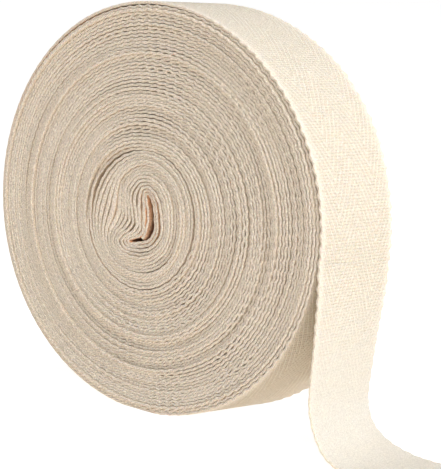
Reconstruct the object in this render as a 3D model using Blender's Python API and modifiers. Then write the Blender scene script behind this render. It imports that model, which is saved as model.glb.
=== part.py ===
"""Roll of herringbone twill tape, standing on its rim, with its last turn hanging off as a loose end.

Units are metres and +Z is up. The tape is wound about an axis along Y, the face that shows looks
along -Y, and the loose end leaves at +X. The origin is the middle of the flat spot under the roll.
"""
import math
from collections import namedtuple

import bmesh
import bpy

MM = 0.001

# Driving sizes, in millimetres
TAPE_WIDTH = 25.4
TAPE_THICKNESS = 0.75
ROLL_RADIUS = 48.8
ROLL_TURNS = 56
RING_TURN = 14
RING_RADIUS = 16.3
RING_CENTRE = (-2.9, -2.5)
FLAT_SPOT_DEPTH = 0.3
SHEET_THICKNESS = 1.0
PIECE_GAP = 0.3

# A soft roll sags: its outline is a circle with a wide waist, a lean and a slightly blunt right side
WAIST, LEAN, BLUNT, BLUNT_LEAN = 0.025, -0.0159, 0.0028, -0.0013

# The last turn loosens over this arc before it leaves the roll, angles in degrees from +X towards +Z
LEAVES_AT = -5.0
SLACK = 0.6
SLACK_ARC = 65.0

POINTS_A_STATION = 5
FLOOR = 0.0

# The hollow that the first turn leaves is shaped like a boot. Each station has its angle on the ring
# of turns around it and its own place from the roll's centre.
Station = namedtuple("Station", "name ring_angle x z")
BOOT = [
    Station("calf", -7, 2.25, -4.0),
    Station("calf_top", 12, 1.45, -0.6),
    Station("knee", 31, 0.75, 1.4),
    Station("cuff_back", 53, -0.35, 3.15),
    Station("cuff", 80, -1.3, 3.8),
    Station("cuff_front", 105, -1.85, 3.0),
    Station("shin_top", 127, -1.3, 1.4),
    Station("shin", 148, -0.6, -0.6),
    Station("shin_low", 168, -0.45, -2.75),
    Station("ankle", 184, -0.75, -4.5),
    Station("tongue", 195, -1.5, -5.9),
    Station("instep", 203, -3.25, -6.7),
    Station("toe_cap", 210, -5.4, -7.3),
    Station("toe", 219, -6.75, -8.5),
    Station("toe_under", 233, -5.75, -9.15),
    Station("sole", 251, -3.75, -8.7),
    Station("arch", 272, -1.6, -8.15),
    Station("heel", 296, 0.5, -7.5),
    Station("heel_back", 324, 1.75, -5.9),
    Station("calf_low", 340, 2.2, -4.9),
]

# Groups of turns slide a little along the axis, and loose turns leave a groove on both faces
Ridge = namedtuple("Ridge", "turn slide groove")
RIDGES = [
    Ridge(0.0, 0.0, 0.8),
    Ridge(0.7, 0.2, 0.0),
    Ridge(4.0, 0.5, 0.0),
    Ridge(8.4, 0.2, 0.0),
    Ridge(9.0, 0.1, 0.6),
    Ridge(9.6, 0.3, 0.0),
    Ridge(13.4, 0.4, 0.0),
    Ridge(14.0, 0.1, 1.8),
    Ridge(14.8, 0.0, 0.0),
    Ridge(20.0, -0.3, 0.0),
    Ridge(27.5, -0.1, 0.0),
    Ridge(29.5, 0.5, 0.0),
    Ridge(31.5, -0.1, 0.0),
    Ridge(39.0, -0.2, 0.0),
    Ridge(41.0, 0.4, 0.0),
    Ridge(44.0, -0.3, 0.0),
    Ridge(50.0, 0.1, 0.0),
    Ridge(53.5, 0.5, 0.0),
    Ridge(55.4, 0.2, 0.0),
    Ridge(56.0, 0.1, 0.4),
]

# The loose end's two edges, from below the place where it leaves the roll down to the floor and along
# it, to a plain cut end. Towards the floor the whole sheet drifts to the front.
Fall = namedtuple("Fall", "front_x front_z rear_x rear_z drift")
LOOSE_END = [
    Fall(49.9, 36.0, 49.3, 36.3, 0.2),
    Fall(50.3, 30.0, 49.0, 30.3, 0.6),
    Fall(50.7, 24.0, 48.6, 24.3, 1.0),
    Fall(51.0, 18.0, 48.5, 18.2, 1.5),
    Fall(51.5, 12.5, 48.8, 12.2, 2.0),
    Fall(52.8, 8.8, 49.7, 8.6, 2.4),
    Fall(54.7, 5.7, 51.6, 5.4, 2.8),
    Fall(57.1, 3.0, 54.7, 3.3, 3.1),
    Fall(60.0, 1.3, 58.4, 1.8, 3.3),
    Fall(63.5, 0.5, 62.5, 0.8, 3.5),
    Fall(67.0, 0.5, 66.6, 0.5, 3.7),
    Fall(81.0, 0.5, 81.0, 0.5, 4.4),
    Fall(95.0, 0.5, 95.0, 0.5, 5.0),
]
ROWS_A_FALL = 3
COLUMNS = 6


def smooth(value):
    """Eases from 0 to 1 as value goes from 0 to 1."""
    value = min(max(value, 0.0), 1.0)
    return value * value * (3 - 2 * value)


def between(a, b, c, d, part):
    """A smooth curve's value at part of the way from b to c, with a before them and d after."""
    slope_b, slope_c = (c - a) / 2, (d - b) / 2
    rise = part * part * (3 - 2 * part)
    return b + (c - b) * rise + slope_b * part * (1 - part) ** 2 - slope_c * part * part * (1 - part)


def angle_apart(one, other):
    """How far two directions in degrees are apart, from 0 to 180."""
    return abs((one - other + 180) % 360 - 180)


def outline_radius(angle):
    """The roll's outer radius at an angle in degrees, stepping out where the loose end leaves."""
    turn = math.radians(angle)
    oval = ROLL_RADIUS * (
        1
        + WAIST * math.cos(2 * turn)
        + LEAN * math.sin(2 * turn)
        + BLUNT * math.cos(3 * turn)
        + BLUNT_LEAN * math.sin(3 * turn)
    )
    behind = (angle - LEAVES_AT) % 360
    return oval + TAPE_THICKNESS * (0.5 - behind / 360) + SLACK * smooth(1 - behind / SLACK_ARC)


def outline_point(angle):
    """The outline's x and z from the roll's centre, in millimetres."""
    radius = outline_radius(angle)
    return radius * math.cos(math.radians(angle)), radius * math.sin(math.radians(angle))


def roll_centre():
    """The centre's x and z, which put the middle of the flat spot at the origin."""
    low = min((outline_point(angle / 10) for angle in range(2500, 2900)), key=lambda point: point[1])
    return -low[0], -low[1] - FLAT_SPOT_DEPTH


def boot_stations():
    """The boot's points and ring angles, a few between each two stations of the table."""
    points = []
    count = len(BOOT)
    for index in range(count):
        near = [BOOT[(index + step) % count] for step in (-1, 0, 1, 2)]
        angles = [station.ring_angle for station in near]
        for place in range(1, 4):
            while angles[place] < angles[place - 1]:
                angles[place] += 360
        for step in range(POINTS_A_STATION):
            part = step / POINTS_A_STATION
            x = between(*[station.x for station in near], part)
            z = between(*[station.z for station in near], part)
            points.append((between(*angles, part), x, z))
    return points


def turn_point(station, turn, outer):
    """A point of one turn: the boot widens to the ring of turns, and the ring to the outline."""
    angle, boot_x, boot_z = station
    ring_x = RING_CENTRE[0] + RING_RADIUS * math.cos(math.radians(angle))
    ring_z = RING_CENTRE[1] + RING_RADIUS * math.sin(math.radians(angle))
    if turn < RING_TURN:
        share = turn / RING_TURN
        return boot_x + (ring_x - boot_x) * share, boot_z + (ring_z - boot_z) * share
    share = (turn - RING_TURN) / (ROLL_TURNS - RING_TURN)
    return ring_x + (outer[0] - ring_x) * share, ring_z + (outer[1] - ring_z) * share


def new_object(name, mesh, collection, colour, roughness):
    """Puts a mesh in the collection as one object with a material of its own."""
    material = bpy.data.materials.new(name)
    material.use_nodes = True
    shader = material.node_tree.nodes["Principled BSDF"]
    shader.inputs["Base Color"].default_value = (*colour, 1.0)
    shader.inputs["Roughness"].default_value = roughness
    shader.inputs["Metallic"].default_value = 0.0
    mesh.materials.append(material)
    piece = bpy.data.objects.new(name, mesh)
    collection.objects.link(piece)
    return piece


def add_loop(bm, points, y):
    """Adds a loop of points at one depth, flattened where it would go through the floor."""
    return [bm.verts.new((x * MM, y * MM, max(z, FLOOR) * MM)) for x, z in points]


def skin(bm, inner, outer):
    """Joins two loops that have as many points with a band of faces."""
    for index, vertex in enumerate(inner):
        following = (index + 1) % len(inner)
        bm.faces.new((vertex, inner[following], outer[following], outer[index]))


def wound_tape(collection):
    """The whole winding as one solid, with the boot-shaped hollow through it and a step at the rim."""
    centre_x, centre_z = roll_centre()
    stations = boot_stations()
    seam = min(range(len(stations)), key=lambda index: angle_apart(stations[index][0], LEAVES_AT))
    stations[seam] = (LEAVES_AT, *stations[seam][1:])
    outline = [outline_point(station[0]) for station in stations]
    below = outline_point(LEAVES_AT - 0.001)

    bm = bmesh.new()
    faces = []
    for side in (-1, 1):
        loops = []
        for ridge in RIDGES:
            y = side * (TAPE_WIDTH / 2 - ridge.groove) - ridge.slide
            flat = [turn_point(station, ridge.turn, outer) for station, outer in zip(stations, outline)]
            loops.append(add_loop(bm, [(x + centre_x, z + centre_z) for x, z in flat], y))
        for inner, outer in zip(loops, loops[1:-1]):
            skin(bm, inner, outer)
        step = add_loop(bm, [(below[0] + centre_x, below[1] + centre_z)], loops[-1][0].co.y / MM)[0]
        faces.append((loops, step))
        stitch_rim(bm, loops[-2], loops[-1], step, seam)

    (front, front_step), (rear, rear_step) = faces
    skin(bm, front[0], rear[0])
    front_rim = [step_below(front, front_step, seam, index) for index in range(len(stations))]
    rear_rim = [step_below(rear, rear_step, seam, index) for index in range(len(stations))]
    for index in range(len(stations)):
        following = (index + 1) % len(stations)
        bm.faces.new((front[-1][index], front_rim[following], rear_rim[following], rear[-1][index]))
    bm.faces.new((front_step, front[-1][seam], rear[-1][seam], rear_step))
    bmesh.ops.recalc_face_normals(bm, faces=bm.faces)
    mesh = bpy.data.meshes.new("wound_tape")
    bm.to_mesh(mesh)
    bm.free()
    return new_object("wound_tape", mesh, collection, colour=(0.71, 0.62, 0.5), roughness=0.9)


def step_below(loops, step, seam, index):
    """The rim's point as seen from the station before it, which at the seam is the step's lower one."""
    return step if index == seam else loops[-1][index]


def stitch_rim(bm, inner, rim, step, seam):
    """Joins the last ridge to the rim, where the seam has two points: above and below the step."""
    for index, vertex in enumerate(inner):
        following = (index + 1) % len(inner)
        far = step if following == seam else rim[following]
        bm.faces.new((vertex, inner[following], far, rim[index]))
    bm.faces.new((inner[seam], rim[seam], step))


def loose_end(collection):
    """The last stretch of tape: a sheet that hangs from the rim, turns out and lies on the floor."""
    leaves_x, leaves_z = [place + offset for place, offset in zip(outline_point(LEAVES_AT), roll_centre())]
    top_x, top_z = leaves_x - SHEET_THICKNESS / 2, leaves_z - PIECE_GAP
    falls = [Fall(top_x, top_z, top_x, top_z, 0.0)] + LOOSE_END
    rows = []
    last = len(falls) - 1
    for index in range(last):
        near = [falls[min(max(index + step, 0), last)] for step in (-1, 0, 1, 2)]
        for step in range(ROWS_A_FALL):
            part = step / ROWS_A_FALL
            rows.append(Fall(*[between(*column, part) for column in zip(*near)]))
    rows.append(falls[last])

    bm = bmesh.new()
    grid = []
    for row in rows:
        line = []
        for column in range(COLUMNS + 1):
            share = column / COLUMNS
            x = row.front_x + (row.rear_x - row.front_x) * share
            z = row.front_z + (row.rear_z - row.front_z) * share
            y = TAPE_WIDTH * (share - 0.5) - row.drift
            line.append(bm.verts.new((x * MM, y * MM, max(z, SHEET_THICKNESS / 2) * MM)))
        grid.append(line)
    for upper, lower in zip(grid, grid[1:]):
        for column in range(COLUMNS):
            bm.faces.new((upper[column], upper[column + 1], lower[column + 1], lower[column]))
    mesh = bpy.data.meshes.new("loose_end")
    bm.to_mesh(mesh)
    bm.free()
    sheet = new_object("loose_end", mesh, collection, colour=(0.93, 0.86, 0.74), roughness=0.85)
    thicken = sheet.modifiers.new("thickness", "SOLIDIFY")
    thicken.thickness = SHEET_THICKNESS * MM
    thicken.offset = 0.0
    thicken.use_even_offset = True
    return sheet


def main():
    for thing in list(bpy.data.objects):
        bpy.data.objects.remove(thing, do_unlink=True)
    collection = bpy.data.collections.new("twill_tape_roll")
    bpy.context.scene.collection.children.link(collection)
    wound_tape(collection)
    loose_end(collection)


main()
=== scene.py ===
# %% [markdown]
# # A coreless roll of herringbone twill tape
# The object is one long ribbon of natural cotton, wound on itself and stood on its rim, with the
# last turn hanging off and lying on the table. The plain solids come from the frame. This lesson
# makes what the eye sees: every turn of the ribbon as a real strip of cloth with woven edges, and
# the weave of its faces.

# %% Load the frame
import math
from collections import namedtuple

import bmesh
import bpy
import numpy as np
from mathutils import Matrix, Vector


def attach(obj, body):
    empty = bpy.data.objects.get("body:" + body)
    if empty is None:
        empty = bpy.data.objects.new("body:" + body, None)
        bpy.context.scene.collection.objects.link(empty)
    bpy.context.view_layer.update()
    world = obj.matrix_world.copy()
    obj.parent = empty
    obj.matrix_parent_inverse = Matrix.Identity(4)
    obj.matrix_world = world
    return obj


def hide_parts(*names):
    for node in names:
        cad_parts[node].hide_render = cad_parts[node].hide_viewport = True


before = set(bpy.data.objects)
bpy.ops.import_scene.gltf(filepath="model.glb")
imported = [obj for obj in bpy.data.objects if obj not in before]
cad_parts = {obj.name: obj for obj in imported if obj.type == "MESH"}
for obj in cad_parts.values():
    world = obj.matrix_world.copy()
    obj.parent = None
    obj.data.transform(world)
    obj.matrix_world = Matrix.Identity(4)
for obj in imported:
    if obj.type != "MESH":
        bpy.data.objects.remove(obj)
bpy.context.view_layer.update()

MM = 0.001

# %% [markdown]
# ## The camera
# The picture is taken from the right and a little above, with a long lens, so the rear rim is
# hardly smaller than the front one. The angles and the distance were fitted to the outlines of
# both rims. A turn about the viewing axis stands for a camera that wasn't held level.

# %% Camera
PICTURE_HIGH = 469
SENSOR = 36.0
FOCAL_PIXELS = 2079.5
AZIMUTH, ELEVATION, TILT = math.radians(40.29), math.radians(8.60), math.radians(4.775)
DISTANCE = 0.4844
AIM = Vector((0.00978, 0.0, 0.04232))

flat_share = math.cos(ELEVATION)
back = Vector((math.sin(AZIMUTH) * flat_share, -math.cos(AZIMUTH) * flat_share, math.sin(ELEVATION)))
level = Vector((math.cos(AZIMUTH), math.sin(AZIMUTH), 0.0))
upright = back.cross(level)
right = level * math.cos(TILT) + upright * math.sin(TILT)
up = upright * math.cos(TILT) - level * math.sin(TILT)

camera = bpy.data.objects.new("camera", bpy.data.cameras.new("camera"))
bpy.context.scene.collection.objects.link(camera)
camera.data.sensor_width = SENSOR
camera.data.lens = FOCAL_PIXELS * SENSOR / PICTURE_HIGH
camera.data.clip_start, camera.data.clip_end = 0.01, 50.0
attitude = Matrix((right, up, back)).transposed().to_4x4()
camera.matrix_world = Matrix.Translation(AIM + back * DISTANCE) @ attitude
bpy.context.scene.camera = camera
print("lens of", round(camera.data.lens, 1), "mm")

# %% [markdown]
# ## Formulas in nodes
# The room's glow and the weave of the tape are both formulas made of small nodes. A helper adds
# the nodes and joins them, so that a formula can be read like ordinary sums.


# %% Sums of nodes
class Sums:
    """Adds nodes to a tree and joins them. A value is a number, a colour or another node's socket."""

    def __init__(self, tree):
        self.tree = tree

    def put(self, socket, value):
        if isinstance(value, bpy.types.NodeSocket):
            self.tree.links.new(value, socket)
        else:
            socket.default_value = value

    def node(self, kind, **sockets):
        made = self.tree.nodes.new(kind)
        for name, value in sockets.items():
            self.put(made.inputs[name], value)
        return made

    def do(self, operation, *values, clamp=False):
        made = self.tree.nodes.new("ShaderNodeMath")
        made.operation = operation
        made.use_clamp = clamp
        for socket, value in zip(made.inputs, values):
            self.put(socket, value)
        return made.outputs[0]

    def ramp(self, value, begins, over):
        """0 until the value begins, then up to 1 over the given stretch."""
        return self.do("DIVIDE", self.do("SUBTRACT", value, begins), over, clamp=True)

    def arch(self, part):
        """From 0 over 1 and back to 0 as part goes from 0 to 1."""
        centred = self.do("MULTIPLY_ADD", part, 2.0, -1.0)
        return self.do("SUBTRACT", 1.0, self.do("MULTIPLY", centred, centred))

    def blend(self, share, colour_a, colour_b, how="MIX"):
        """Mixes two colours; how is the blend type."""
        made = self.tree.nodes.new("ShaderNodeMix")
        made.data_type = "RGBA"
        made.blend_type = how
        sockets = (made.inputs[0], made.inputs[6], made.inputs[7])
        for socket, value in zip(sockets, (share, colour_a, colour_b)):
            self.put(socket, value)
        return made.outputs[2]


# %% [markdown]
# ## Table and light
# The roll stands on a white table before a white wall, as in a catalogue picture. The table shines
# a little by itself, so that its white meets the wall's without a line, and it sends no light back
# to the cloth, because the glow of the room stands for that. The key and rim lamps are on the
# right, where the band of the tape faces. The warm top lamp rakes down the wound face and draws its
# ripples. Two weak lamps open the shadows in front. The glow is warm from below and grey from
# above, and it is dimmer from behind. Only the camera sees the wall as plain white.

# %% Table
TABLE_SIDE = 12.0
TABLE_GREY = (0.5, 0.5, 0.5, 1.0)
TABLE_SHINE = 0.8
WHITE = (1.0, 1.0, 1.0, 1.0)

bm = bmesh.new()
bmesh.ops.create_grid(bm, x_segments=1, y_segments=1, size=TABLE_SIDE / 2)
table_mesh = bpy.data.meshes.new("table")
bm.to_mesh(table_mesh)
bm.free()
table = bpy.data.objects.new("table", table_mesh)
bpy.context.scene.collection.objects.link(table)
table_white = bpy.data.materials.new("table_white")
table_white.use_nodes = True
paint = table_white.node_tree.nodes["Principled BSDF"]
paint.inputs["Base Color"].default_value = TABLE_GREY
paint.inputs["Roughness"].default_value = 0.9
paint.inputs["Specular IOR Level"].default_value = 0.1
paint.inputs["Emission Color"].default_value = WHITE
paint.inputs["Emission Strength"].default_value = TABLE_SHINE
table_mesh.materials.append(table_white)
table.visible_diffuse = False
print("table of", TABLE_SIDE, "m")

# %% Lamps
MIDDLE = Vector((0.0, 0.0, 0.047))


def area_light(name, place, side, power, colour=(1.0, 1.0, 1.0)):
    """A square soft light that looks at the middle of the roll."""
    lamp = bpy.data.lights.new(name, "AREA")
    lamp.shape = "SQUARE"
    lamp.size = side
    lamp.energy = power
    lamp.color = colour
    light = bpy.data.objects.new(name, lamp)
    light.location = place
    light.rotation_euler = (MIDDLE - Vector(place)).to_track_quat("-Z", "Y").to_euler()
    bpy.context.scene.collection.objects.link(light)


area_light("key", (1.25, 0.52, 0.34), side=0.4, power=5.6)
area_light("rim", (1.35, -0.22, 0.26), side=0.2, power=6.2)
area_light("top", (0.2, -0.1, 1.3), side=0.8, power=8.0, colour=(1.0, 0.94, 0.86))
area_light("fill", (0.9, -1.0, 0.5), side=0.4, power=2.0)
area_light("front", (-0.6, -1.2, 0.7), side=0.6, power=0.5)
print(len(bpy.data.lights), "lamps")

# %% Glow of the room
GLOW_BELOW = (1.36, 1.16, 0.94, 1.0)
GLOW_ABOVE = (0.45, 0.45, 0.45, 1.0)
GLOW_BEHIND = 0.45

world = bpy.data.worlds.new("studio")
world.use_nodes = True
room_air = Sums(world.node_tree)
direction = room_air.node("ShaderNodeTexCoord").outputs["Generated"]
facing = room_air.node("ShaderNodeSeparateXYZ", Vector=direction)
glow = room_air.blend(room_air.ramp(facing.outputs["Z"], -0.5, 1.0), GLOW_BELOW, GLOW_ABOVE)
behind = room_air.ramp(facing.outputs["Y"], -0.2, 0.8)
dimming = room_air.do("MULTIPLY_ADD", behind, GLOW_BEHIND - 1.0, 1.0)
glow = room_air.blend(1.0, glow, dimming, "MULTIPLY")
seen = room_air.node("ShaderNodeLightPath").outputs["Is Camera Ray"]
glow = room_air.blend(seen, glow, WHITE)
room_air.put(world.node_tree.nodes["Background"].inputs["Color"], glow)
bpy.context.scene.world = world
bpy.context.scene.view_settings.view_transform = "Standard"
print("room glow of", len(world.node_tree.nodes), "nodes")

# %% [markdown]
# ## The way the tape is wound
# Without a core, the first turn folds flat round its own start and leaves a hollow like a boot.
# Every turn after it is rounder, and after fourteen turns the roll is a ring. From there it grows
# evenly to its outline, which sags a little under its own weight. So each turn is a blend between
# the boot, the ring and the outline, and the tape runs through all of them as one spiral.
#
# The boot is a table of stations. Each has its angle on the ring, its place on the boot, and a
# shove: how far the turns between boot and ring are pushed sideways there. The shoves keep the
# boot's narrow waist for longer than an even blend would. The first few turns lie on each other
# all round, and step outwards only in the fold where the tape starts. Just outside the ring the
# turns lie loose, with a gap that is wider in some directions than in others. The last turn
# stands off a little before it leaves the roll. Sizes are in millimetres, angles in degrees.

# %% Sizes of the tape and the roll
TAPE_WIDTH = 25.4
TAPE_THICKNESS = 0.70
TURN_PITCH = 0.75
WHOLE_TURNS = 55
ROLL_RADIUS = 48.8
WAIST, LEAN, BLUNT, BLUNT_LEAN = 0.025, -0.0159, 0.0028, -0.0013
FLAT_SPOT_DEPTH = 0.3
LEAVES_AT = -5.0
SLACK, SLACK_ARC = 0.25, 65.0
RING_TURN = 14
RING_STEP = 0.12
RING_RADIUS = 16.3
RING_CENTRE = (-2.9, -2.5)
START_BEND, START_BEND_TURNS = (-0.25, -1.1), 0.08
END_SHORT = 1e-4
FOLD_SHARE, FOLD_TURNS = 0.2, 4
SHOVE_FROM, SHOVE_RISE = 0.3, 3.0
SHOVE_TO, SHOVE_FALL = 12.5, 5.5

Gap = namedtuple("Gap", "angle width")
RING_GAP = [
    Gap(0, 0.5),
    Gap(60, 0.25),
    Gap(95, 0.06),
    Gap(150, 0.5),
    Gap(200, 0.3),
    Gap(250, 0.12),
    Gap(300, 0.2),
]

Station = namedtuple("Station", "name ring_angle x z shove")
BOOT = [
    Station("calf", -7, 1.95, -3.9, 0.0),
    Station("calf_top", 12, 1.35, -0.7, 0.1),
    Station("knee", 31, 0.7, 1.4, 0.3),
    Station("cuff_back", 54, -0.35, 3.1, 0.2),
    Station("cuff", 81, -1.25, 3.75, 0.0),
    Station("cuff_front", 104, -1.8, 3.0, -0.4),
    Station("shin_top", 119, -1.3, 1.4, -1.2),
    Station("shin", 133, -0.65, -0.6, -1.6),
    Station("shin_low", 146, -0.5, -2.75, -0.6),
    Station("ankle", 157, -0.8, -4.5, 0.5),
    Station("tongue", 168, -1.5, -5.9, 1.4),
    Station("instep", 180, -3.3, -6.75, 1.5),
    Station("toe_cap", 194, -5.3, -7.35, 0.7),
    Station("toe", 211, -6.3, -8.15, 0.0),
    Station("toe_under", 230, -5.5, -8.75, 0.0),
    Station("sole", 250, -3.75, -8.35, 0.0),
    Station("arch", 272, -1.6, -7.8, 0.0),
    Station("heel", 296, 0.3, -7.0, 0.0),
    Station("heel_back", 322, 1.4, -5.7, 0.0),
    Station("calf_low", 339, 1.85, -4.75, 0.0),
]
START = [station.name for station in BOOT].index("tongue")


# %% Smooth steps, curves and noise
def eased(value):
    """0 below 0, 1 above 1, and a soft S between."""
    value = np.clip(value, 0.0, 1.0)
    return value * value * (3 - 2 * value)


def through(table, places):
    """Reads a smooth curve through the table's rows at the given places, counted in rows."""
    first = np.clip(np.floor(places).astype(int), 1, len(table) - 3)
    part = (places - first)[:, None]
    a, b, c, d = (table[first + step] for step in (-1, 0, 1, 2))
    curve = 2 * b + (c - a) * part
    curve = curve + (2 * a - 5 * b + 4 * c - d) * part**2
    curve = curve + (3 * b - a - 3 * c + d) * part**3
    return curve / 2


def soft_noise(places, spacing, draws):
    """Smooth random values about every spacing along the places, most of them from -1 to 1."""
    knots = int(np.ceil(places.max() / spacing)) + 4
    values = draws.uniform(-1, 1, knots)[:, None]
    return through(values, places / spacing + 1)[:, 0]


# %% One point for each place along the spiral
rows = np.array([station[1:] for station in BOOT], float)
lap = np.array([360.0, 0.0, 0.0, 0.0])
BOOT_LOOP = np.concatenate([rows[-2:] - lap, rows, rows[:3] + lap])
LOOP_START = 2


def outline_radius(angle):
    """The roll's outline without the spiral's own step."""
    turn = np.radians(angle)
    wide = WAIST * np.cos(2 * turn) + LEAN * np.sin(2 * turn)
    egg = BLUNT * np.cos(3 * turn) + BLUNT_LEAN * np.sin(3 * turn)
    return ROLL_RADIUS * (1 + wide + egg)


def leaving_station():
    """The place among the boot's stations, counted in rows, where the tape leaves the roll."""
    places = np.linspace(0, 1, 1001)
    ring_angles = through(BOOT_LOOP, places + LOOP_START)[:, 0]
    return float(np.interp(LEAVES_AT, ring_angles, places))


def roll_centre():
    """The centre's x and z, with the middle of the flat spot at the origin, as the solids have it."""
    low_angles = np.linspace(250, 290, 401)
    radius = outline_radius(low_angles) + TURN_PITCH * (0.5 - (low_angles - LEAVES_AT) / 360)
    x, z = radius * np.cos(np.radians(low_angles)), radius * np.sin(np.radians(low_angles))
    low = z.argmin()
    return np.array([-x[low], -z[low] - FLAT_SPOT_DEPTH])


TURNS = WHOLE_TURNS + (START - leaving_station()) / len(BOOT) - END_SHORT
CENTRE = roll_centre()
print("the tape goes round", round(TURNS, 2), "times")


def winding(turns):
    """The tape's middle line after so many turns, its angle there, and the direction outward."""
    place = (START - turns * len(BOOT)) % len(BOOT)
    angle, boot_x, boot_z, shove = through(BOOT_LOOP, place + LOOP_START).T
    around = np.radians(angle)
    toward = np.stack([np.cos(around), np.sin(around)], axis=1)
    ring = np.array(RING_CENTRE) + RING_RADIUS * toward

    fold, into = np.divmod(turns + FOLD_SHARE / 2, 1.0)
    stepped = np.maximum(fold - 1 + eased(into / FOLD_SHARE), 0)
    even = np.clip(turns / FOLD_TURNS, 0, 1)
    core_share = ((stepped * (1 - even) + turns * even) / RING_TURN)[:, None]
    core = np.stack([boot_x, boot_z], axis=1) * (1 - core_share) + ring * core_share
    core = core + np.array(START_BEND) * (1 - eased(turns / START_BEND_TURNS))[:, None]
    pushed = np.clip((turns - SHOVE_FROM) / SHOVE_RISE, 0, 1)
    core[:, 0] += shove * pushed * eased((SHOVE_TO - turns) / SHOVE_FALL)

    gap = np.interp(angle, [row.angle for row in RING_GAP], [row.width for row in RING_GAP], period=360)
    before_leaving = (angle - LEAVES_AT) % 360
    slack = SLACK * eased(1 - before_leaving / SLACK_ARC) * (turns > TURNS - 0.5)
    outline = toward * (outline_radius(angle) + slack)[:, None]
    share = ((turns - RING_TURN) / (TURNS - RING_TURN))[:, None]
    body = (ring + toward * gap[:, None]) * (1 - share) + outline * share
    past = eased((turns - RING_TURN + RING_STEP / 2) / RING_STEP)[:, None]
    return core * (1 - past) + body * past, angle, toward


# %% [markdown]
# ## Measuring the spiral
# The turns get longer as the roll grows, but a weave has the same picks from end to end. So the
# spiral is measured first, and then walked again in steps of equal length.

# %% Equal steps along the spiral
STEP = 0.42
COARSE = 80000
coarse_turns = np.linspace(0, TURNS, COARSE)
coarse_line = winding(coarse_turns)[0]
run = np.concatenate([[0], np.cumsum(np.linalg.norm(np.diff(coarse_line, axis=0), axis=1))])
WOUND_LENGTH = float(run[-1])
step_count = int(WOUND_LENGTH / STEP)
along = np.linspace(0, WOUND_LENGTH, step_count + 1)
turns_at = np.interp(along, run, coarse_turns)
plain_line, angles, outward = winding(turns_at)
middle_line = plain_line + CENTRE
print("wound length", round(WOUND_LENGTH / 1000, 3), "m in", step_count, "steps")


def after(turn, over):
    """For each step: 0 up to a turn, then easing to 1 over so many turns."""
    return eased((turns_at - turn) / over)


def until(turn, over):
    """For each step: 1 at first, easing to 0 over so many turns before the given one."""
    return eased((turn - turns_at) / over)


def on_side(angle, spread, reach=1.0):
    """For each step: 1 on the side of an angle, easing to 0. A reach over 1 widens the top."""
    apart = np.abs((angles - angle + 180) % 360 - 180)
    return eased(reach - apart / spread)


# %% [markdown]
# ## Uneven winding
# Nobody winds a ribbon perfectly. Turns slide a little along the axis, so some stand proud of the
# face and others hide. Whole groups slide together and show as rings. Three single turns stand
# proud, most of all on the left, and the turns just outside the ring sit deep at its upper left.
# On the left half of the face the turns lie calmer than on the right.

# %% Slide along the axis
draws = np.random.default_rng(7)
Ridge = namedtuple("Ridge", "turn slide")
RIDGES = [
    Ridge(0.0, 0.0),
    Ridge(0.7, 0.2),
    Ridge(4.0, 0.5),
    Ridge(8.4, 0.2),
    Ridge(9.6, 0.3),
    Ridge(13.4, 0.25),
    Ridge(14.8, 0.0),
    Ridge(20.0, -0.3),
    Ridge(29.0, -0.1),
    Ridge(39.0, -0.2),
    Ridge(41.5, 0.1),
    Ridge(44.0, -0.3),
    Ridge(50.0, 0.0),
    Ridge(55.4, 0.2),
    Ridge(56.0, 0.1),
]
PROUD_TURNS = (29.45, 41.0, 53.15)
PROUD_BY = 0.5
RECESS_DEPTH = 1.8

Noise = namedtuple("Noise", "size spacing")
TURN_SLIDE, FINE_SLIDE, SLOW_SLIDE = Noise(0.24, 0.37), Noise(0.12, 0.09), Noise(0.2, 2.2)


def noise(kind):
    """For each step: a soft noise whose spacing is counted in turns."""
    return kind.size * soft_noise(turns_at, kind.spacing, draws)


calm_left = on_side(180, 90, reach=1.1) * after(7, 4)
own_slide = noise(TURN_SLIDE) + noise(FINE_SLIDE)
own_slide *= 1 - 0.6 * calm_left
own_slide += noise(SLOW_SLIDE)
group_slide = np.interp(turns_at, [ridge.turn for ridge in RIDGES], [ridge.slide for ridge in RIDGES])
recess = RECESS_DEPTH * after(RING_TURN, 0.3) * until(15.8, 1.4) * on_side(152, 55)
slide = group_slide + own_slide - recess
leftward = on_side(180, 120, reach=1.2)
for turn in PROUD_TURNS:
    near_turn = eased(1.6 - np.abs(turns_at - turn) / 0.5)
    slide += PROUD_BY * near_turn * (0.3 + 0.7 * leftward)
print("turns slide from", round(float(slide.min()), 2), "to", round(float(slide.max()), 2), "mm")

# %% [markdown]
# ## Turns that wander and stand open
# A turn isn't quite round either, and it wanders in and out by a fraction of its thickness. In
# three places the picture shows two turns standing apart: right of the hollow, halfway from there
# to the ring, and at the top of the rim. There the turns after the opening are pushed outwards,
# less and less with each turn.

# %% Wander and openings
WANDER = Noise(0.25, 5.0)
Opening = namedtuple("Opening", "turn ramp angle half_spread width fade")
OPENINGS = [
    Opening(1.85, 0.25, -12, 80, 0.62, 5.0),
    Opening(8.7, 0.3, -15, 90, 0.55, 4.0),
    Opening(54.3, 0.3, 118, 50, 0.2, 9.0),
]
wander = np.zeros(len(turns_at))
for waves in (2, 3, 5, 8):
    swing = np.radians(angles) * waves
    for wave in (np.cos(swing), np.sin(swing)):
        wander += WANDER.size / waves * wave * soft_noise(turns_at, WANDER.spacing, draws)
wander *= until(TURNS, 3) * after(0, 6)
for opening in OPENINGS:
    lasting = np.clip(1 - (turns_at - opening.turn) / opening.fade, 0, 1)
    open_here = after(opening.turn, opening.ramp) * on_side(opening.angle, opening.half_spread)
    wander += opening.width * lasting * open_here
middle_line += outward * wander[:, None]
print("turns wander by up to", round(float(np.abs(wander).max()), 2), "mm")

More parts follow.
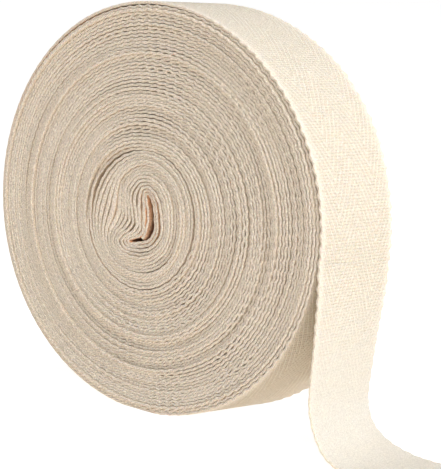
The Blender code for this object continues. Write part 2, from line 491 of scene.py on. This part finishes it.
# %% [markdown]
# ## Soft edges in the loose core
# Between boot and ring the turns have more room than they need. The woven edges fluff up into a
# part of that room, so the face shows soft lines and no wide slits. All through the roll some
# stretches of the edge are fluffy and others are round. Behind the face the loose turns lean
# outwards against the next one, so that one can't look between them through the roll. The outer
# turns flare at the rear, as the rear rim in the picture does.

# %% Puff, fluff and flare
EDGE_PUFF = Noise(0.4, 0.4)
FLUFF_SPACING = 13.0
Flare = namedtuple("Flare", "angle rear_lift")
FLARES = [
    Flare(-95, 0.1),
    Flare(-70, 0.6),
    Flare(-40, 0.75),
    Flare(-15, 0.2),
    Flare(5, 0.0),
    Flare(15, 0.1),
    Flare(30, 0.6),
    Flare(48, 0.85),
    Flare(65, 0.45),
    Flare(90, 0.0),
]
to_next_turn = winding(np.minimum(turns_at + 1, TURNS))[0] - plain_line
room = np.abs((to_next_turn * outward).sum(axis=1)) - TURN_PITCH
room *= after(0.6, 0.4) * until(12.6, 0.6)
filled = 0.25 + noise(EDGE_PUFF) + 0.6 * after(5.5, 3)
puff = np.clip(room, 0, 0.8) * np.minimum(filled, 1)
fluff = eased(0.45 + 0.9 * soft_noise(along, FLUFF_SPACING, draws) + 0.6 * calm_left)
fluff *= until(TURNS - 1.2, 0.3)
puff += 0.05 * fluff

turned = (angles + 180) % 360 - 180
flare = np.interp(turned, [row.angle for row in FLARES], [row.rear_lift for row in FLARES])
flare *= (turns_at / TURNS) ** 4
beyond = [np.interp(turns_at + 1, turns_at, column) for column in middle_line.T]
opened = ((np.stack(beyond, axis=1) - middle_line) * outward).sum(axis=1) - TAPE_THICKNESS
flare += np.clip(opened, 0, 1.2) * until(RING_TURN + 1, 0.3)
print("edges fluff up by up to", round(float(puff.max()), 2), "mm")

# %% [markdown]
# ## Lively and quiet edges
# The selvedges ripple more in some patches of the face than in others, less near the middle and on
# the left, and most along the right of the rim, where the last turn is free to stand off.

# %% Strength of the ripples
PATCH_SIZE = 9.0


def patches(line, size):
    """Soft random patches over the wound face, about the given size, mostly from -1 to 1."""
    total = np.zeros(len(line))
    for _ in range(8):
        heading = draws.uniform(0, 2 * math.pi)
        waves = 2 * math.pi / (size * draws.uniform(1.4, 3.2))
        across = line[:, 0] * math.cos(heading) + line[:, 1] * math.sin(heading)
        total += np.cos(across * waves + draws.uniform(0, 2 * math.pi))
    return total / 2


liveliness = np.clip(0.85 + 0.3 * patches(middle_line, PATCH_SIZE), 0.45, 1.2)
liveliness *= (1 - 0.5 * calm_left) * (0.4 + 0.6 * after(0, 28))
last = after(TURNS - 1, 0.1)
rim_strength = 0.15 + 1.25 * on_side(0, 80, reach=1.3)
liveliness = liveliness * (1 - last) + rim_strength * last
print("ripples from", round(float(liveliness.min()), 2), "to", round(float(liveliness.max()), 2))

# %% [markdown]
# ## The cross-section
# A ribbon's section is a thin bar. Its two ends are the selvedges, where the weft turns back, so
# they are rounded and they ripple: each ripple is one repeat of the twill, four picks long. Turns
# that lie tight on each other nest, so their ripples run in step for a few turns, until the next
# group starts out of step again.

# %% Section of the tape
PICK = 0.6875
RIPPLE = 4 * PICK
RIPPLE_OUT, RIPPLE_SIDE, RIPPLE_TWIST = 0.06, 0.15, 1.2
RIPPLE_CREST = 0.35
SWAY_AHEAD = 1.2
FRONT_TO_REAR = 1.3
EDGE_REACH = 1.2
ROUNDED = 0.6

SectionPoint = namedtuple("SectionPoint", "from_edge lift")
SELVEDGE = [
    SectionPoint(0.26, 1.0),
    SectionPoint(0.06, 0.9),
    SectionPoint(0.0, 0.42),
    SectionPoint(0.0, -0.42),
    SectionPoint(0.06, -0.9),
    SectionPoint(0.26, -1.0),
]


def section(columns):
    """Points round the tape: across from the middle, lift from -1 to 1, and nearness to an edge."""
    half = TAPE_WIDTH / 2
    inner_face = np.linspace(-half, half, columns + 1)[1:-1]
    front = [(-half + point.from_edge, point.lift) for point in SELVEDGE]
    rear = [(half - point.from_edge, -point.lift) for point in SELVEDGE]
    points = front + [(across, -1.0) for across in inner_face] + rear
    points += [(across, 1.0) for across in inner_face[::-1]]
    points = np.array(points + points[:1])
    nearness = np.clip(1 - (half - np.abs(points[:, 0])) / EDGE_REACH, 0, 1)
    return points[:, 0], points[:, 1], nearness


def section_lengths(columns):
    """Length round the section up to each of its points."""
    width_at, lift_at, _ = section(columns)
    sides = np.hypot(np.diff(width_at), np.diff(lift_at) * TAPE_THICKNESS / 2)
    return np.concatenate([[0], np.cumsum(sides)])


def nested_phase():
    """The ripple's phase along the whole tape, in step within each group of nested turns."""
    phase = np.zeros(len(turns_at))
    first = 0
    while first < TURNS:
        last = first + int(draws.integers(4, 10))
        middle = int(min((first + last) / 2, TURNS - 1))
        one_turn = np.linspace(middle, middle + 1, 721)
        length = np.interp(one_turn, turns_at, along)
        length -= length[0]
        count = round(length[-1] / RIPPLE)
        inside = (turns_at >= first) & (turns_at < last)
        part = np.interp(turns_at[inside] % 1, one_turn - middle, length / length[-1])
        lean = draws.uniform(-0.7, 0.7)
        start = draws.uniform(0, 2 * math.pi)
        phase[inside] = 2 * math.pi * count * part + lean * turns_at[inside] + start
        first = last
    return phase + 0.5 * soft_noise(turns_at, 0.11, draws)


def ripples(phase, lift, side, strength):
    """How far the selvedge moves out along the axis and sways, for each step and section point."""
    phase = phase + side * FRONT_TO_REAR
    phase = phase + RIPPLE_CREST * np.sin(phase)
    out = RIPPLE_OUT * strength[:, None] * np.cos(phase[:, None] + RIPPLE_TWIST * lift[None, :])
    sway = RIPPLE_SIDE * strength * np.cos(phase + SWAY_AHEAD)
    return out, sway


PHASE = nested_phase()
print("section of", len(section(1)[0]) - 1, "points, ripples of", RIPPLE, "mm")

# %% [markdown]
# ## From a flat grid to a ribbon
# A ribbon is a long grid: its length runs along the tape and its short side goes once round the
# section. The grid is made flat by one operator and each vertex is then carried to its place. The
# section's last column lands on its first, so the two are merged, and both cut ends are filled.
# The grid also keeps each corner's length along and round the tape, for the weave to read.

# %% Ribbon maker
Course = namedtuple("Course", "centre out across along strength phase flare puff fluff")


def ribbon(name, course, columns):
    """A closed strip of tape. The course has one row for each step along the tape, in millimetres."""
    width_at, lift_at, near_edge = section(columns)
    steps, sides = len(course.centre) - 1, len(width_at) - 1
    bm = bmesh.new()
    bm.loops.layers.uv.new("UVMap")
    bmesh.ops.create_grid(bm, x_segments=steps, y_segments=sides, size=0.5)
    mesh = bpy.data.meshes.new(name)
    bm.to_mesh(mesh)
    bm.free()

    flat = np.empty(len(mesh.vertices) * 3, np.float32)
    mesh.vertices.foreach_get("co", flat)
    flat = flat.reshape(-1, 3)
    step = np.rint((flat[:, 0] + 0.5) * steps).astype(int)
    side = np.rint((flat[:, 1] + 0.5) * sides).astype(int)

    rounded = near_edge > ROUNDED
    squared = (TAPE_WIDTH / 2 - np.abs(width_at)) * rounded * np.sign(width_at)
    sideways = 0.85 * course.fluff[:, None] * squared[None, :]
    thickness = TAPE_THICKNESS + course.puff[:, None] * rounded[None, :]
    rearward = 0.5 + width_at / TAPE_WIDTH
    lifted = lift_at[None, :] * thickness / 2 + course.flare[:, None] * rearward[None, :]
    for edge in (-1, 1):
        out_by, sway = ripples(course.phase, lift_at, edge, course.strength)
        mine = (np.sign(width_at) == edge) * near_edge
        sideways += edge * out_by * mine[None, :]
        lifted += sway[:, None] * mine[None, :]
    wide = (width_at[None, :] + sideways)[..., None]
    places = course.centre[:, None, :] + course.across[:, None, :] * wide
    places += course.out[:, None, :] * lifted[..., None]
    places[..., 2] = np.maximum(places[..., 2], 0.0)
    mesh.vertices.foreach_set("co", (places[step, side] * MM).astype(np.float32).ravel())

    round_section = section_lengths(columns)
    corners = np.empty(len(mesh.loops), np.int32)
    mesh.loops.foreach_get("vertex_index", corners)
    uv = np.stack([course.along[step[corners]], round_section[side[corners]]], axis=1)
    mesh.uv_layers["UVMap"].data.foreach_set("uv", uv.astype(np.float32).ravel())

    bm = bmesh.new()
    bm.from_mesh(mesh)
    bmesh.ops.remove_doubles(bm, verts=bm.verts, dist=1e-7)
    open_ends = [edge for edge in bm.edges if edge.is_boundary]
    bmesh.ops.holes_fill(bm, edges=open_ends, sides=0)
    bmesh.ops.recalc_face_normals(bm, faces=bm.faces)
    for face in bm.faces:
        face.smooth = True
    for edge in open_ends:
        edge.smooth = False
    bm.to_mesh(mesh)
    bm.free()
    piece = bpy.data.objects.new(name, mesh)
    bpy.context.scene.collection.objects.link(piece)
    print(name, "has", len(mesh.polygons), "faces")
    return piece


# %% [markdown]
# ## The wound turns
# The spiral is cut into four stretches that meet end to end, so that no mesh gets too heavy. Only
# the last turn shows its face, so only it has many columns across.

# %% Wound turns
ahead = np.gradient(middle_line, axis=0)
ahead /= np.linalg.norm(ahead, axis=1)[:, None]
normal = np.stack([-ahead[:, 1], ahead[:, 0]], axis=1)


def wound_piece(name, first, last, columns):
    """One stretch of the spiral, between two counts of turns."""
    start, stop = np.searchsorted(turns_at, (first, last))
    chosen = slice(start, min(stop, step_count) + 1)
    line, away = middle_line[chosen], normal[chosen]
    zeros = np.zeros(len(line))
    centre = np.stack([line[:, 0], -slide[chosen], line[:, 1]], axis=1)
    out = np.stack([away[:, 0], zeros, away[:, 1]], axis=1)
    across = np.stack([zeros, zeros + 1, zeros], axis=1)
    more = [row[chosen] for row in (along, liveliness, PHASE, flare, puff, fluff)]
    return ribbon(name, Course(centre, out, across, *more), columns)


FACE_COLUMNS = 12
wound = [
    wound_piece("inner_turns", 0.0, 31.2, columns=1),
    wound_piece("middle_turns", 31.2, 44.5, columns=1),
    wound_piece("outer_turns", 44.5, TURNS - 1.03, columns=1),
    wound_piece("last_turn", TURNS - 1.03, TURNS, columns=FACE_COLUMNS),
]

# %% [markdown]
# ## The loose end
# The last stretch hangs from the rim, turns out just above the table and lies on it. Its two edges
# don't fall quite alike, so the sheet has a slight twist. Each row of the table gives a place on
# both edges, and how far the sheet has drifted to the front there.

# %% Loose end
LEAD = 6.0
QUIET_BY, QUIET_STRENGTH = 20, 0.5
FLARE_ENDS_BY = 6
Fall = namedtuple("Fall", "front_x front_z rear_x rear_z drift")
LOOSE_END = [
    Fall(49.9, 36.0, 49.3, 36.3, 0.2),
    Fall(50.3, 30.0, 49.0, 30.3, 0.6),
    Fall(50.7, 24.0, 48.6, 24.3, 1.0),
    Fall(51.0, 18.0, 48.5, 18.2, 1.5),
    Fall(51.5, 12.5, 48.5, 12.2, 2.0),
    Fall(52.8, 8.8, 49.3, 8.6, 2.4),
    Fall(54.7, 5.7, 51.2, 5.4, 2.8),
    Fall(57.1, 3.0, 54.3, 3.1, 3.1),
    Fall(60.0, 1.3, 58.0, 1.6, 3.3),
    Fall(63.5, 0.4, 62.5, 0.7, 3.5),
    Fall(67.0, 0.35, 66.6, 0.35, 3.7),
    Fall(81.0, 0.35, 81.0, 0.35, 4.4),
    Fall(95.0, 0.35, 95.0, 0.35, 5.0),
]


def loose_end_lines():
    """Middle line, outward and across direction, and length so far, at equal steps."""
    top_x, top_z = middle_line[-1]
    lead_x, lead_z = middle_line[-1] - ahead[-1] * LEAD
    before = Fall(lead_x, lead_z, lead_x, lead_z, 0.0)
    leaving = Fall(top_x, top_z, top_x, top_z, 0.0)
    table = np.array([before, leaving, *LOOSE_END, LOOSE_END[-1]], float)
    read = through(table, np.linspace(1, len(table) - 2 - 1e-9, 4000))
    lines = []
    for x, z, side in ((0, 1, -0.5), (2, 3, 0.5)):
        lines.append(np.stack([read[:, x], side * TAPE_WIDTH - read[:, 4], read[:, z]], axis=1))
    middle = (lines[0] + lines[1]) / 2
    middle[:, 1] -= slide[-1]
    lengths = np.cumsum(np.linalg.norm(np.diff(middle, axis=0), axis=1))
    run = np.concatenate([[0], lengths])
    wanted = np.linspace(0, run[-1], int(run[-1] / STEP))
    centre, front, rear = (
        np.stack([np.interp(wanted, run, column) for column in line.T], axis=1)
        for line in (middle, *lines)
    )
    across = rear - front
    across /= np.linalg.norm(across, axis=1)[:, None]
    out = np.cross(np.gradient(centre, axis=0), across)
    out /= np.linalg.norm(out, axis=1)[:, None]
    return centre, out, across, wanted


centre, out, across, hanging = loose_end_lines()
LOOSE_LENGTH = float(hanging[-1])
no_puff = np.zeros(len(hanging))
hanging_course = Course(
    centre=centre,
    out=out,
    across=across,
    along=WOUND_LENGTH + hanging,
    strength=np.interp(hanging, [0, QUIET_BY], [liveliness[-1], QUIET_STRENGTH]),
    phase=PHASE[-1] + 2 * math.pi * hanging / RIPPLE,
    flare=np.interp(hanging, [0, FLARE_ENDS_BY], [flare[-1], 0]),
    puff=no_puff,
    fluff=no_puff,
)
loose_end = ribbon("loose_end_sheet", hanging_course, FACE_COLUMNS)
whole_length = (WOUND_LENGTH + LOOSE_LENGTH) / 1000
print("loose end of", round(LOOSE_LENGTH, 1), "mm, tape of", round(whole_length, 2), "m")

# %% [markdown]
# ## The weave
# The tape is a two up, two down twill whose slant turns over every few millimetres, which makes the
# herringbone. The pattern is worked out in the shader from the ribbon's own lengths, in
# millimetres: which warp end and which pick a point lies on, and which of the two is on top there.
# Thick and thin places in the yarn, the slubs, make the columns drift and the ribs fade in and out.

# %% Threads
END = 1 / 3
COLUMN = 20 * END
FIRST_TURN_OVER = 6.4
COLUMN_DRIFT = 0.3
WARP_BASE, WARP_RISE, WEFT_RISE = 0.45, 0.55, 0.6
THREAD_SHARE = 0.85


def threads(sums, from_front, length, slub):
    """Two heights at a point of the weave: of the single thread, and with the twill's ribs added."""

    def repeat(ends, picks):
        """Place in the repeat of four threads, from 0 to 1."""
        return sums.do("FRACT", sums.do("MULTIPLY", sums.do("ADD", ends, picks), 0.25))

    drift = sums.do("MULTIPLY_ADD", slub, 2 * COLUMN_DRIFT, -COLUMN_DRIFT - FIRST_TURN_OVER)
    folded = sums.do("PINGPONG", sums.do("ADD", from_front, drift), COLUMN)
    end_place = sums.do("DIVIDE", folded, END)
    pick_place = sums.do("DIVIDE", length, PICK)
    end_number = sums.do("FLOOR", end_place)
    pick_number = sums.do("FLOOR", pick_place)
    warp_up = sums.do("LESS_THAN", repeat(end_number, pick_number), 0.5)

    warp_float = sums.do("MULTIPLY", repeat(end_number, pick_place), 2.0)
    weft_float = sums.do("MULTIPLY_ADD", repeat(end_place, pick_number), 2.0, -1.0)
    warp_back = sums.arch(sums.do("FRACT", end_place))
    weft_back = sums.arch(sums.do("FRACT", pick_place))
    warp_round = sums.do("MULTIPLY", sums.arch(warp_float), warp_back)
    weft_round = sums.do("MULTIPLY", sums.arch(weft_float), weft_back)
    warp_height = sums.do("MULTIPLY_ADD", warp_round, WARP_RISE, WARP_BASE)
    weft_height = sums.do("MULTIPLY", weft_round, WEFT_RISE)
    height_gap = sums.do("SUBTRACT", warp_height, weft_height)
    thread_height = sums.do("MULTIPLY_ADD", warp_up, height_gap, weft_height)

    slant = sums.do("ADD", end_place, pick_place)
    rib_turn = sums.do("MULTIPLY_ADD", slant, math.pi / 2, -0.75 * math.pi)
    rib = sums.do("MULTIPLY_ADD", sums.do("COSINE", rib_turn), 0.5, 0.5)
    dotted = sums.do("MULTIPLY", rib, sums.do("MULTIPLY_ADD", weft_back, 0.7, 0.3))
    patchy = sums.do("MULTIPLY_ADD", slub, 1.6, -0.5, clamp=True)
    plain = sums.do("MULTIPLY", thread_height, THREAD_SHARE)
    return thread_height, sums.do("MULTIPLY_ADD", dotted, patchy, plain)


# %% [markdown]
# ## The colour of the cotton
# Natural cotton is cream on top of a thread. Between threads, where the weave sinks, painted shade
# darkens it, and the slubs vary the tone at random. Inside the roll the colour is painted shade that
# stands for light falling in and coming back warm: the deeper a point lies behind the face, the
# darker and browner it gets, near black furthest in. Round the hollow and near one opening at the
# rim it is a painted orange glow, and between other turns that stand open it is painted brown shade.
# Along the selvedges the weave is tighter and the tint a little darker; the last 0.7 mm is darker and
# warmer again, partly the edge's own tone and partly painted shade in the grooves between turns.
# The loose end is pulled smooth by its own weight, so its weave lies flatter, its painted shade is
# weaker and its tone is more even, and a painted highlight lightens its dim edges.

# %% Tints
LIGHT_THREAD = (0.95, 0.90, 0.79, 1.0)
# Painted shade between threads.
THREAD_SHADE_TINT = (0.58, 0.47, 0.35, 1.0)
PALE_THREAD = (0.70, 0.67, 0.61, 1.0)
STRIP_TINT = (0.92, 0.84, 0.74, 1.0)
# Partly the selvedge's own tone, partly painted shade in the grooves between turns.
EDGE_TONE_AND_SHADE = (0.90, 0.82, 0.73, 1.0)
# Painted shade deep inside the roll: in the grooves, and near black furthest in.
GROOVE_SHADE_TINT = (0.64, 0.55, 0.44, 1.0)
DEEPEST_SHADE_TINT = (0.28, 0.15, 0.08, 1.0)
# A painted orange glow, standing for light that comes through the cloth into the hollow.
ORANGE_GLOW_TINT = (0.90, 0.49, 0.24, 1.0)
# Painted brown shade between turns that stand open.
BROWN_SHADE_TINT = (0.54, 0.41, 0.28, 1.0)

Stretch = namedtuple("Stretch", "first last tint")
# Stretches of tape where the deep colour is a painted orange glow round the hollow and near the rim,
# and painted brown shade between open turns.
OPEN_TURNS = [
    Stretch(-1.0, 1.7, ORANGE_GLOW_TINT),
    Stretch(53.98, 54.24, ORANGE_GLOW_TINT),
    Stretch(1.7, 6.0, BROWN_SHADE_TINT),
    Stretch(8.2, 9.7, BROWN_SHADE_TINT),
    Stretch(13.7, 15.4, BROWN_SHADE_TINT),
]
TINT_FADE = 20.0


def painted_depth_light(sums, colour, from_selvedge, length, painted_depth_shade):
    """Painted shade and painted glow inside the roll, by depth behind the face and by place along the
    tape.
    """
    deep_shade_and_glow = GROOVE_SHADE_TINT
    for stretch in OPEN_TURNS:
        begins, ends = np.interp((stretch.first, stretch.last), turns_at, along)
        begun = sums.ramp(length, float(begins) - TINT_FADE / 2, TINT_FADE)
        ended = sums.ramp(length, float(ends) - TINT_FADE / 2, TINT_FADE)
        here = sums.do("MULTIPLY", begun, sums.do("SUBTRACT", 1.0, ended))
        deep_shade_and_glow = sums.blend(here, deep_shade_and_glow, stretch.tint)
    # Painted shade and glow: behind the face the colour turns to the deep tint, and to near black
    # beyond 1.2 mm.
    depth_shade_share = sums.do("MULTIPLY", sums.ramp(from_selvedge, 0.2, 0.4), painted_depth_shade)
    colour = sums.blend(depth_shade_share, colour, deep_shade_and_glow)
    return sums.blend(sums.ramp(from_selvedge, 1.2, 0.8), colour, DEEPEST_SHADE_TINT)


# %% Cotton cloth
SECTION_ROUND = float(section_lengths(1)[-1])
EDGE_MIDDLE = float(np.interp(2.5, np.arange(len(section_lengths(1))), section_lengths(1)))
SLUB_SCALE, FIBRE_SCALE = 0.35, 3300.0
EDGE_HEIGHT = 0.75
SMOOTH_FADE = 30.0
RELIEF_DEPTH = 0.00034


def cotton_cloth(name, painted_depth_shade=0.0, smooth_from=1e6):
    """Natural cotton herringbone.

    painted_depth_shade: how strongly the painted shade and glow show deep inside the roll.
    smooth_from: the length along the tape from which its weave lies flatter and paler, its painted
    shade is weaker and a painted highlight lightens its edges.
    """
    cotton = bpy.data.materials.new(name)
    cotton.use_nodes = True
    shader = cotton.node_tree.nodes["Principled BSDF"]
    sums = Sums(cotton.node_tree)
    lengths = sums.node("ShaderNodeUVMap")
    lengths.uv_map = "UVMap"
    tape = lengths.outputs["UV"]
    split = sums.node("ShaderNodeSeparateXYZ", Vector=tape)
    length, around = split.outputs["X"], split.outputs["Y"]
    from_front = sums.do("PINGPONG", sums.do("SUBTRACT", around, EDGE_MIDDLE), SECTION_ROUND / 2)
    from_selvedge = sums.do("PINGPONG", from_front, SECTION_ROUND / 4)
    near = sums.do("SUBTRACT", 1.0, sums.do("DIVIDE", from_selvedge, 0.7), clamp=True)
    smooth = sums.ramp(length, smooth_from, SMOOTH_FADE)
    slubs = sums.node("ShaderNodeTexNoise", Vector=tape, Scale=SLUB_SCALE, Detail=3.0, Roughness=0.6)
    slub = slubs.outputs["Fac"]
    place = sums.node("ShaderNodeTexCoord").outputs["Object"]
    fibres = sums.node("ShaderNodeTexNoise", Vector=place, Scale=FIBRE_SCALE, Detail=2.0, Roughness=0.6)
    fibre = fibres.outputs["Fac"]

    thread_height, woven = threads(sums, from_front, length, slub)
    inside = sums.ramp(from_selvedge, 0.5, 1.5)
    over_edge = sums.do("SUBTRACT", woven, EDGE_HEIGHT)
    weave_height = sums.do("MULTIPLY_ADD", over_edge, inside, EDGE_HEIGHT)

    # Painted shade: the colour darkens where the weave sinks and at the pinholes between threads, as
    # their shadow would; the slubs add random tone.
    low = sums.do("SUBTRACT", 1.0, weave_height, clamp=True)
    pinhole_shade = sums.do("POWER", sums.do("SUBTRACT", 1.0, thread_height), 2.0)
    crevice_shade_and_slub = sums.do("MULTIPLY_ADD", pinhole_shade, 0.5, sums.do("MULTIPLY", low, 0.2))
    crevice_shade_and_slub = sums.do("MULTIPLY", crevice_shade_and_slub, sums.do("MULTIPLY_ADD", smooth, -0.55, 1.0))
    crevice_shade_and_slub = sums.do("ADD", crevice_shade_and_slub, sums.do("MULTIPLY_ADD", slub, 0.2, -0.1), clamp=True)
    colour = sums.blend(crevice_shade_and_slub, LIGHT_THREAD, THREAD_SHADE_TINT)
    strip = sums.do("MULTIPLY_ADD", from_selvedge, -0.25, 0.75, clamp=True)
    colour = sums.blend(strip, colour, STRIP_TINT)
    # Within 0.7 mm of a selvedge the colour is darker and warmer: partly the edge's own tone, partly
    # painted shade in the grooves.
    colour = sums.blend(near, colour, EDGE_TONE_AND_SHADE)
    colour = sums.blend(sums.do("MULTIPLY", smooth, 0.85), colour, PALE_THREAD)
    # Painted highlight: on the loose end the very edges are lightened towards the light thread, where
    # the lamps leave them dim.
    painted_edge_light = sums.do("MULTIPLY_ADD", near, 4.0, -1.8, clamp=True)
    colour = sums.blend(sums.do("MULTIPLY", smooth, painted_edge_light), colour, LIGHT_THREAD)
    # Inside the roll the colour takes painted shade and painted glow by depth.
    if painted_depth_shade:
        colour = painted_depth_light(sums, colour, from_selvedge, length, painted_depth_shade)
    coarse = 2.4 if painted_depth_shade else 1.2
    grain = sums.do("MULTIPLY_ADD", fibre, coarse, 1 - coarse / 2)
    grey = sums.node("ShaderNodeCombineXYZ", X=grain, Y=grain, Z=grain)
    colour = sums.blend(0.65, colour, grey.outputs["Vector"], "MULTIPLY")
    sums.put(shader.inputs["Base Color"], colour)
    shader.inputs["Roughness"].default_value = 0.85
    shader.inputs["Specular IOR Level"].default_value = 0.15
    shader.inputs["Sheen Weight"].default_value = 0.15
    shader.inputs["Sheen Roughness"].default_value = 0.5
    shader.inputs["Subsurface Weight"].default_value = 0.2
    shader.inputs["Subsurface Radius"].default_value = (1.0, 0.7, 0.45)
    shader.inputs["Subsurface Scale"].default_value = 0.0005

    across_edge = sums.do("MULTIPLY", around, 1 / TAPE_THICKNESS)
    loop_place = sums.do("ADD", across_edge, sums.do("DIVIDE", length, 2 * PICK))
    loops = sums.do("MULTIPLY", sums.arch(sums.do("FRACT", loop_place)), near)
    relief = sums.do("MULTIPLY_ADD", loops, 0.9, weave_height)
    relief = sums.do("MULTIPLY_ADD", fibre, 0.7, relief)
    strength = sums.do("MULTIPLY_ADD", smooth, -0.6, 1.0)
    bump = sums.node("ShaderNodeBump", Strength=strength, Distance=RELIEF_DEPTH, Height=relief)
    sums.put(shader.inputs["Normal"], bump.outputs["Normal"])
    print(name, "has", len(cotton.node_tree.nodes), "nodes")
    return cotton


inside_cotton = cotton_cloth("cotton_inside_the_roll", painted_depth_shade=0.8)
for piece in wound[:-1]:
    piece.data.materials.append(inside_cotton)
wound[-1].data.materials.append(cotton_cloth("herringbone_cotton"))
loose_cotton = cotton_cloth("cotton_of_the_loose_end", smooth_from=WOUND_LENGTH + 4)
loose_end.data.materials.append(loose_cotton)

# %% [markdown]
# ## Riding on the body
# Every piece rides on the one body, and the solid it stands for is hidden. The loose end is a free
# sheet of cloth, while the wound turns hold each other.

# %% Ride and replace
for piece in wound:
    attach(piece, "root")
    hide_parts("wound_tape")
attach(loose_end, "root")
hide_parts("loose_end")
